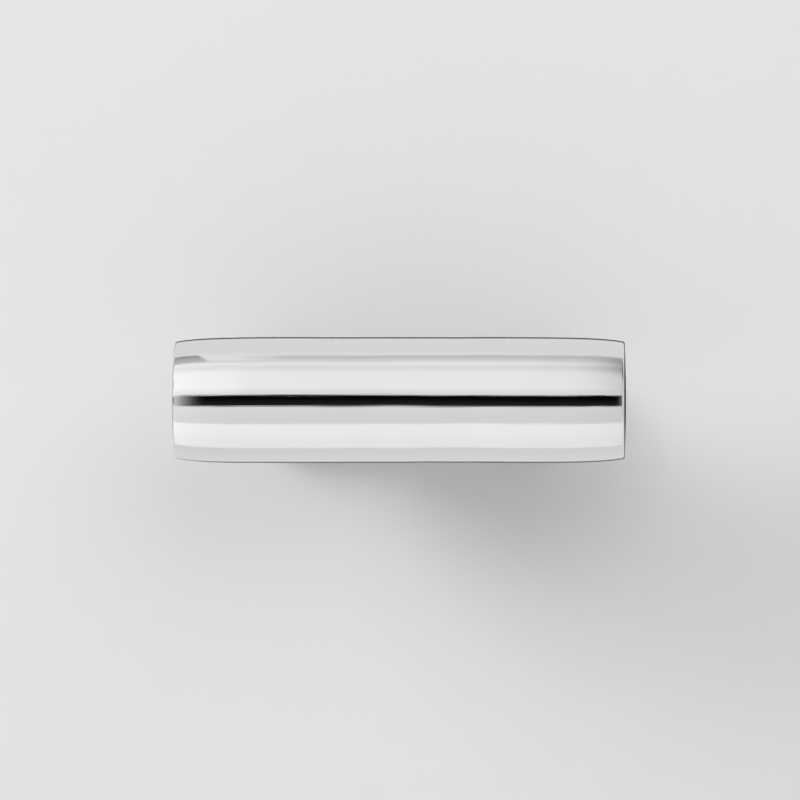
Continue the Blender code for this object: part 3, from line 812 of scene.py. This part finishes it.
def add_grub_screws():
    for side in SIDES:
        extent = EXTENTS[sided(side, "pin_grub_screw")]
        body = threaded(M3_RADIUS, M3_PITCH, extent.height, 0.3, GRUB_SOCKET)
        at = (extent.centre.x, extent.low.y, extent.centre.z)
        add_piece(sided(side, "pin_grub_screw"), placed(body, at, ALONG_UP))


def countersunk_head(radius):
    """Flat on top with a 90-degree underside, closed off inside the shank."""
    neck = M3_RADIUS - 0.5
    profile = [(0, 0), (radius, 0), (radius, 0.15), (neck, radius - neck + 0.15)]
    return turned(rounded([*profile, (0, radius - neck + 0.15)], [0, 0.1, 0.05, 0, 0], closed=False))


def add_cheek_screws():
    for side in SIDES:
        for level in ("upper", "lower"):
            node = sided(side, f"{level}_cheek_screw")
            extent = EXTENTS[node]
            shank_start = extent.width / 2 - M3_RADIUS + 0.1
            shank = threaded(M3_RADIUS, M3_PITCH, extent.depth - shank_start, 0.3)
            head = socketed(countersunk_head(extent.width / 2), *CHEEK_SCREW_SOCKET)
            bm = joined([head, placed(shank, (0, 0, shank_start))])
            at = (extent.centre.x, extent.centre.y, extent.low.z)
            add_piece(node, placed(bm, at))


def add_studs():
    for side in SIDES:
        extent = EXTENTS[sided(side, "fixing_stud")]
        bm = threaded(M6_RADIUS, M6_PITCH, extent.depth, 0.8)
        at = (extent.centre.x, extent.centre.y, extent.high.z)
        add_piece(sided(side, "fixing_stud"), placed(bm, at, ALONG_DOOR))


def add_rear_washers():
    for side in SIDES:
        extent = EXTENTS[sided(side, "rear_washer")]
        inner, outer, thickness = M6_RADIUS + 0.2, extent.width / 2, extent.depth
        section = [(inner, 0), (outer, 0), (outer, thickness), (inner, thickness)]
        bm = turned(rounded(section, [0.15, 0.35, 0.12, 0.12]), ring=True)
        at = (extent.centre.x, extent.centre.y, extent.low.z)
        add_piece(sided(side, "rear_washer"), placed(bm, at))


def nut_profile(flat, height):
    """The dome nut's section where its side is flat millimetres from its axis."""
    bore, chamfer = M6_RADIUS + CLOSE_FIT, 0.5
    rise = (flat - NUT_FACE_RADIUS) * tan(NUT_CHAMFER)
    inside = [(0, NUT_BORE_DEPTH), (bore, NUT_BORE_DEPTH), (bore, chamfer), (bore + chamfer, 0)]
    sides = [(NUT_FACE_RADIUS, 0), (flat, rise), (flat, NUT_HEX_HEIGHT - rise)]
    shoulder = [(NUT_FACE_RADIUS, NUT_HEX_HEIGHT), (NUT_DOME_RADIUS - 0.1, NUT_HEX_HEIGHT)]
    radii = [0, 0, 0, 0, 0.08, 0.12, 0.12, 0.02, 0]
    edge = rounded(inside + sides + shoulder, radii, closed=False, steps=4)
    dome = arc((0, height - NUT_DOME_RADIUS), NUT_DOME_RADIUS - 0.1, 0, pi / 2, 24)
    return edge + [(r, h + 0.1 * (h + NUT_DOME_RADIUS - height) / NUT_DOME_RADIUS) for r, h in dome]


def add_dome_nuts():
    corners = rounded(hexagon(EXTENTS["left_dome_nut"].height), 0.25, steps=4)
    outline = []
    for start, end in zip(corners, corners[1:] + corners[:1]):
        start, end = Vector(start), Vector(end)
        pieces = max(1, round((end - start).length / 0.3))
        outline += [start.lerp(end, i / pieces) for i in range(pieces)]
    outline.append(outline[0])
    for side in SIDES:
        extent = EXTENTS[sided(side, "dome_nut")]
        start = extent.high.z + CAD_GAP - CLOSE_FIT
        height = start - extent.low.z
        columns = [(point.normalized(), nut_profile(point.length, height)) for point in outline]
        rows = []
        for level in range(len(columns[0][1])):
            row = [(way * profile[level][0], profile[level][1]) for way, profile in columns]
            rows.append([(across.x, across.y, rise) for across, rise in row])
        at = (extent.centre.x, extent.centre.y, start)
        add_piece(sided(side, "dome_nut"), placed(surface(rows), at, ALONG_DOOR))


add_handle_bar()
add_swing_arm()
add_bushes()
add_bar_bolt()
add_spring_washer()
add_dowels()
add_buttons()
add_gasket()
add_backplate()
add_cheeks()
add_pins()
add_grub_screws()
add_cheek_screws()
add_studs()
add_rear_washers()
add_dome_nuts()


# ---------------------------------------------------------------- studio

BAR_LOW, BAR_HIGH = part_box("handle_bar")
BAR_CENTRE = (BAR_LOW + BAR_HIGH) / 2
PALE = (0.80, 0.793, 0.805)
WALL_HALF, WALL_GAP = 0.6, 0.0004
FLOOR_DROP, FLOOR_HALF, FLOOR_FADE = 0.2, 3.0, (0.5, 1.4)

# What stands round the knocker, by elevation in degrees as its mirror surfaces see it: 0 is
# straight out from the door, 90 overhead, -90 the ground and 180 back into the door. The
# brightness changes smoothly from line to line.
SURROUNDINGS = (
    (-180, 0.76),
    (-130, 0.77),  # the door, fully lit
    (-102, 0.74),
    (-96, 0.94),  # bright ground
    (-47, 1.00),
    (-42, 0.77),  # step and path, in half shade
    (13, 0.85),  # street level
    (24, 0.97),  # open sky
    (50, 0.96),
    (63, 0.83),  # cloud
    (71, 0.94),
    (79, 0.73),
    (87, 0.61),  # lintel
    (94, 0.86),
    (100, 0.79),  # the door, fully lit
    (130, 0.79),
    (180, 0.76),
)
# Painted shade in the mirrored surroundings: the door's face just behind the bar, dark where the
# bar shades it, as cosines of the angle from straight into the door, how much of that is lost
# below, and its level
PAINTED_SHADE_EDGE, PAINTED_SHADE_CORE, PAINTED_SHADE_LOST_BELOW, PAINTED_SHADE_LEVEL = 0.87, 0.965, 0.02, 0.04
# Where each soft edge of the dark doorway starts and ends, in degrees
DOORWAY = {
    "bottom": (-14.0, -9.3),
    "top": (7.0, 10.8),
    "left": (-28.0, -9.5),
    "right": (15.0, 27.0),
    "far_left": (-29.0, -34.0),
}


def add_world():
    """Soft even light, a pale background, and the surroundings only where mirrors see them."""
    world = bpy.data.worlds.new("studio")
    world.use_nodes = True
    bpy.context.scene.world = world
    graph = Graph(world.node_tree)
    direction = graph.add("ShaderNodeTexCoord").outputs["Generated"]
    rays = graph.add("ShaderNodeLightPath").outputs

    def light(colour):
        return graph.add("ShaderNodeBackground", {"Color": colour}).outputs[0]

    def either(switch, otherwise, chosen):
        inputs = {0: rays[switch], 1: otherwise, 2: chosen}
        return graph.add("ShaderNodeMixShader", inputs).outputs[0]

    ambient = light(scaled(AMBIENT_TINT, AMBIENT))
    seen = either("Is Glossy Ray", ambient, light(mirrored_surroundings(graph, direction)))
    seen = either("Is Camera Ray", seen, light((*PALE, 1)))
    graph.add("ShaderNodeOutputWorld", {"Surface": seen})


def mirrored_surroundings(graph, direction):
    """The colour a mirror shows in a direction."""
    side, into, up = graph.add("ShaderNodeSeparateXYZ", {"Vector": direction}).outputs
    outward = graph.math("MULTIPLY", into, -1.0)
    elevation = graph.math("MULTIPLY", graph.math("ARCTAN2", up, outward), 180 / pi)
    azimuth = graph.math("MULTIPLY", graph.math("ARCSINE", side), 180 / pi)
    # painted shade: the door's face behind the bar, darkened where the bar shades it
    level = add_painted_shade_behind_bar(graph, elevation_level(graph, elevation), into, up)
    ahead = graph.window(elevation, -96, 96, 3)
    drift = graph.ramp(azimuth, -27, 23, 1.125, 0.875, "LINEAR")
    level = graph.math("MULTIPLY", level, graph.mix(ahead, 1.0, drift))
    level = add_left_side(graph, level, elevation, azimuth)
    level = add_right_side(graph, level, elevation, azimuth)
    level = add_far_sides(graph, level, azimuth, up)
    level = add_doorway(graph, level, elevation, azimuth)
    tint = graph.mix_colour(ahead, (1.0, 1.008, 1.022, 1), (1.0, 1.0, 1.008, 1))
    return graph.mix_colour(1.0, level, tint, "MULTIPLY")


def elevation_level(graph, elevation):
    place = graph.ramp(elevation, -180.0, 180.0, shape="LINEAR")
    curve = graph.add("ShaderNodeValToRGB", {"Fac": place})
    stops = curve.color_ramp
    stops.interpolation = "EASE"
    while len(stops.elements) < len(SURROUNDINGS):
        stops.elements.new(0.5)
    for element, (angle, level) in zip(stops.elements, SURROUNDINGS):
        element.position = (angle + 180) / 360
        element.color = (level, level, level, 1)
    return graph.add("ShaderNodeRGBToBW", {"Color": curve.outputs[0]}).outputs[0]


def add_painted_shade_behind_bar(graph, level, into, up):
    """Painted shade behind the bar, dark all round straight into the door, and smaller below."""
    lost = graph.ramp(up, -0.2, -0.1, PAINTED_SHADE_LOST_BELOW, 0.0)
    # painted shade, mixed over the surroundings towards a near-black level
    painted_shade = graph.ramp(graph.math("SUBTRACT", into, lost), PAINTED_SHADE_EDGE, PAINTED_SHADE_CORE)
    return graph.mix(painted_shade, level, PAINTED_SHADE_LEVEL)


def add_far_sides(graph, level, azimuth, up):
    """Well round to either side, nothing but a plain gradient from below to above."""
    sideways = graph.ramp(graph.math("ABSOLUTE", azimuth), 58, 75)
    return graph.mix(sideways, level, graph.ramp(up, -0.5, 0.5, 0.45, 0.85))


def add_doorway(graph, level, elevation, azimuth):
    """An opening ahead that is almost black, and another beyond its left edge."""
    ahead = graph.ramp(azimuth, *DOORWAY["left"], 0.2, 1.0)
    far_left = graph.ramp(azimuth, *DOORWAY["far_left"], 0.0, 0.85)
    opening = graph.product(
        graph.ramp(elevation, *DOORWAY["bottom"]),
        graph.ramp(elevation, *DOORWAY["top"], 1.0, 0.0),
        graph.math("MAXIMUM", ahead, far_left),
        graph.ramp(azimuth, *DOORWAY["right"], 1.0, 0.0),
    )
    return graph.mix(opening, level, graph.ramp(elevation, -9, 3, 0.014, 0.002))


def add_left_side(graph, level, elevation, azimuth):
    """Brighter sky and a grey belt of trees, no lintel, a grey post and a paler door edge."""
    glow = graph.product(graph.ramp(azimuth, -2.5, -6.0), graph.window(elevation, 8, 66, 5))
    level = graph.math("MULTIPLY", level, graph.ramp(glow, 0.0, 1.0, 1.0, 1.065))
    flare = graph.product(graph.ramp(azimuth, -22.0, -36.0), graph.window(elevation, 2, 80, 8))
    level = graph.mix(flare, level, 1.1)
    trees = graph.product(graph.ramp(azimuth, -28.0, -34.0), graph.window(elevation, 30, 46, 7))
    level = graph.mix(trees, level, 0.45)
    level = graph.math("MULTIPLY", level, graph.ramp(azimuth, -45.0, -75.0, 1.0, 0.4))
    no_lintel = graph.product(graph.ramp(azimuth, -3.0, -4.6), graph.window(elevation, 78, 92, 3))
    level = graph.mix(no_lintel, level, 0.88)
    slant = graph.ramp(elevation, 76, 95, -7.2, -8.6, "LINEAR")
    beyond = graph.ramp(graph.math("SUBTRACT", slant, azimuth), 0.0, 0.8)
    post = graph.product(beyond, graph.window(elevation, 76, 95, 1.2))
    level = graph.mix(post, level, graph.ramp(elevation, 76, 94, 0.56, 0.36))
    pale = graph.product(graph.ramp(azimuth, -3.0, -7.0), graph.ramp(elevation, -150, -165))
    return graph.mix(pale, level, 0.6)


def add_right_side(graph, level, elevation, azimuth):
    """A dark mass high up, deeper the further round it is."""
    foot = graph.ramp(elevation, 5, 25, 0.0, 0.35)
    rise = graph.math("ADD", foot, graph.ramp(elevation, 40, 66, 0.0, 0.65))
    tall = graph.product(rise, graph.ramp(elevation, 80, 99, 1.0, 0.0))
    depth = graph.ramp(azimuth, -1.0, 33.0, 0.0, 0.96, "LINEAR")
    return graph.mix(graph.product(tall, depth), level, 0.0)


AMBIENT, AMBIENT_TINT = 0.345, (0.975, 0.985, 1.0)
# Each light's way from the bar, how far off it is, its width and its power
LIGHTS = {
    "key_near": ((-34, -25.5, 11), 2.2, 0.66, 5.0),
    "key_middle": ((-47, -25.5, 21), 2.2, 0.66, 6.5),
    "key_far": ((-60, -25.5, 30), 2.2, 0.66, 8.5),
    "key_high": ((-50, -25.5, 42), 2.2, 0.9, 12.0),
    "fill": ((15, -50, 28), 0.57, 0.5, 0.95),
}


def add_lights():
    for name, (way, distance, width, power) in LIGHTS.items():
        data = bpy.data.lights.new(name, "AREA")
        data.shape = "DISK"
        data.size = width
        data.energy = power
        data.color = (1.0, 0.99, 0.97)
        lamp = bpy.data.objects.new(name, data)
        bpy.context.scene.collection.objects.link(lamp)
        way = Vector(way).normalized()
        lamp.location = BAR_CENTRE + way * distance
        lamp.rotation_euler = (-way).to_track_quat("-Z", "Y").to_euler()
        lamp.visible_glossy = False


def pale_material(name, hidden_from):
    """Plain matt paint that clears, for the camera alone, where hidden_from says."""
    material, graph = new_material(name)
    geometry = graph.add("ShaderNodeNewGeometry").outputs
    camera_ray = graph.add("ShaderNodeLightPath").outputs["Is Camera Ray"]
    matt = graph.add("ShaderNodeBsdfDiffuse", {"Color": (*PALE, 1)}).outputs[0]
    clear = graph.add("ShaderNodeBsdfTransparent").outputs[0]
    hidden = graph.math("MULTIPLY", hidden_from(graph, geometry), camera_ray)
    surface_shader = graph.add("ShaderNodeMixShader", {0: hidden, 1: matt, 2: clear})
    graph.add("ShaderNodeOutputMaterial", {"Surface": surface_shader.outputs[0]})
    return material


def from_behind_or_edge_on(graph, geometry):
    vectors = {0: geometry["Incoming"], 1: geometry["Normal"]}
    facing = graph.add("ShaderNodeVectorMath", vectors, operation="DOT_PRODUCT").outputs["Value"]
    grazing = graph.math("LESS_THAN", graph.math("ABSOLUTE", facing), 0.1)
    return graph.math("MAXIMUM", geometry["Backfacing"], grazing)


def from_far_off(graph, geometry):
    position = {0: geometry["Position"]}
    distance = graph.add("ShaderNodeVectorMath", position, operation="LENGTH").outputs["Value"]
    return graph.ramp(distance, *FLOOR_FADE)


def add_sheet(name, corners, hidden_from):
    mesh = bpy.data.meshes.new(name)
    mesh.from_pydata(corners, [], [tuple(range(len(corners)))])
    mesh.materials.append(pale_material(f"{name}_paint", hidden_from))
    sheet = bpy.data.objects.new(name, mesh)
    bpy.context.scene.collection.objects.link(sheet)
    sheet.visible_glossy = False


def add_stage():
    """The door as a plain pale sheet, and a floor of the same paint some way below."""
    half, y, low = WALL_HALF, WALL_GAP, -FLOOR_DROP
    wall = [(-half, y, low), (half, y, low), (half, y, half), (-half, y, half)]
    add_sheet("door_face_sheet", wall, from_behind_or_edge_on)
    far = FLOOR_HALF
    floor_corners = [(-far, -far, low), (far, -far, low), (far, far, low), (-far, far, low)]
    add_sheet("floor_sheet", floor_corners, from_far_off)


CAMERA_DISTANCE, CAMERA_ASIDE, VIEW_WIDTH = 1.4, 0.055, 0.1593


def add_camera():
    data = bpy.data.cameras.new("camera")
    data.sensor_width = 36.0
    data.lens = data.sensor_width * CAMERA_DISTANCE / VIEW_WIDTH
    camera = bpy.data.objects.new("camera", data)
    bpy.context.scene.collection.objects.link(camera)
    camera.location = BAR_CENTRE + Vector((CAMERA_ASIDE, -CAMERA_DISTANCE, 0))
    camera.rotation_euler = (BAR_CENTRE - camera.location).to_track_quat("-Z", "Y").to_euler()
    bpy.context.scene.camera = camera


add_world()
add_lights()
add_stage()
add_camera()
bpy.context.scene.view_settings.view_transform = "Standard"
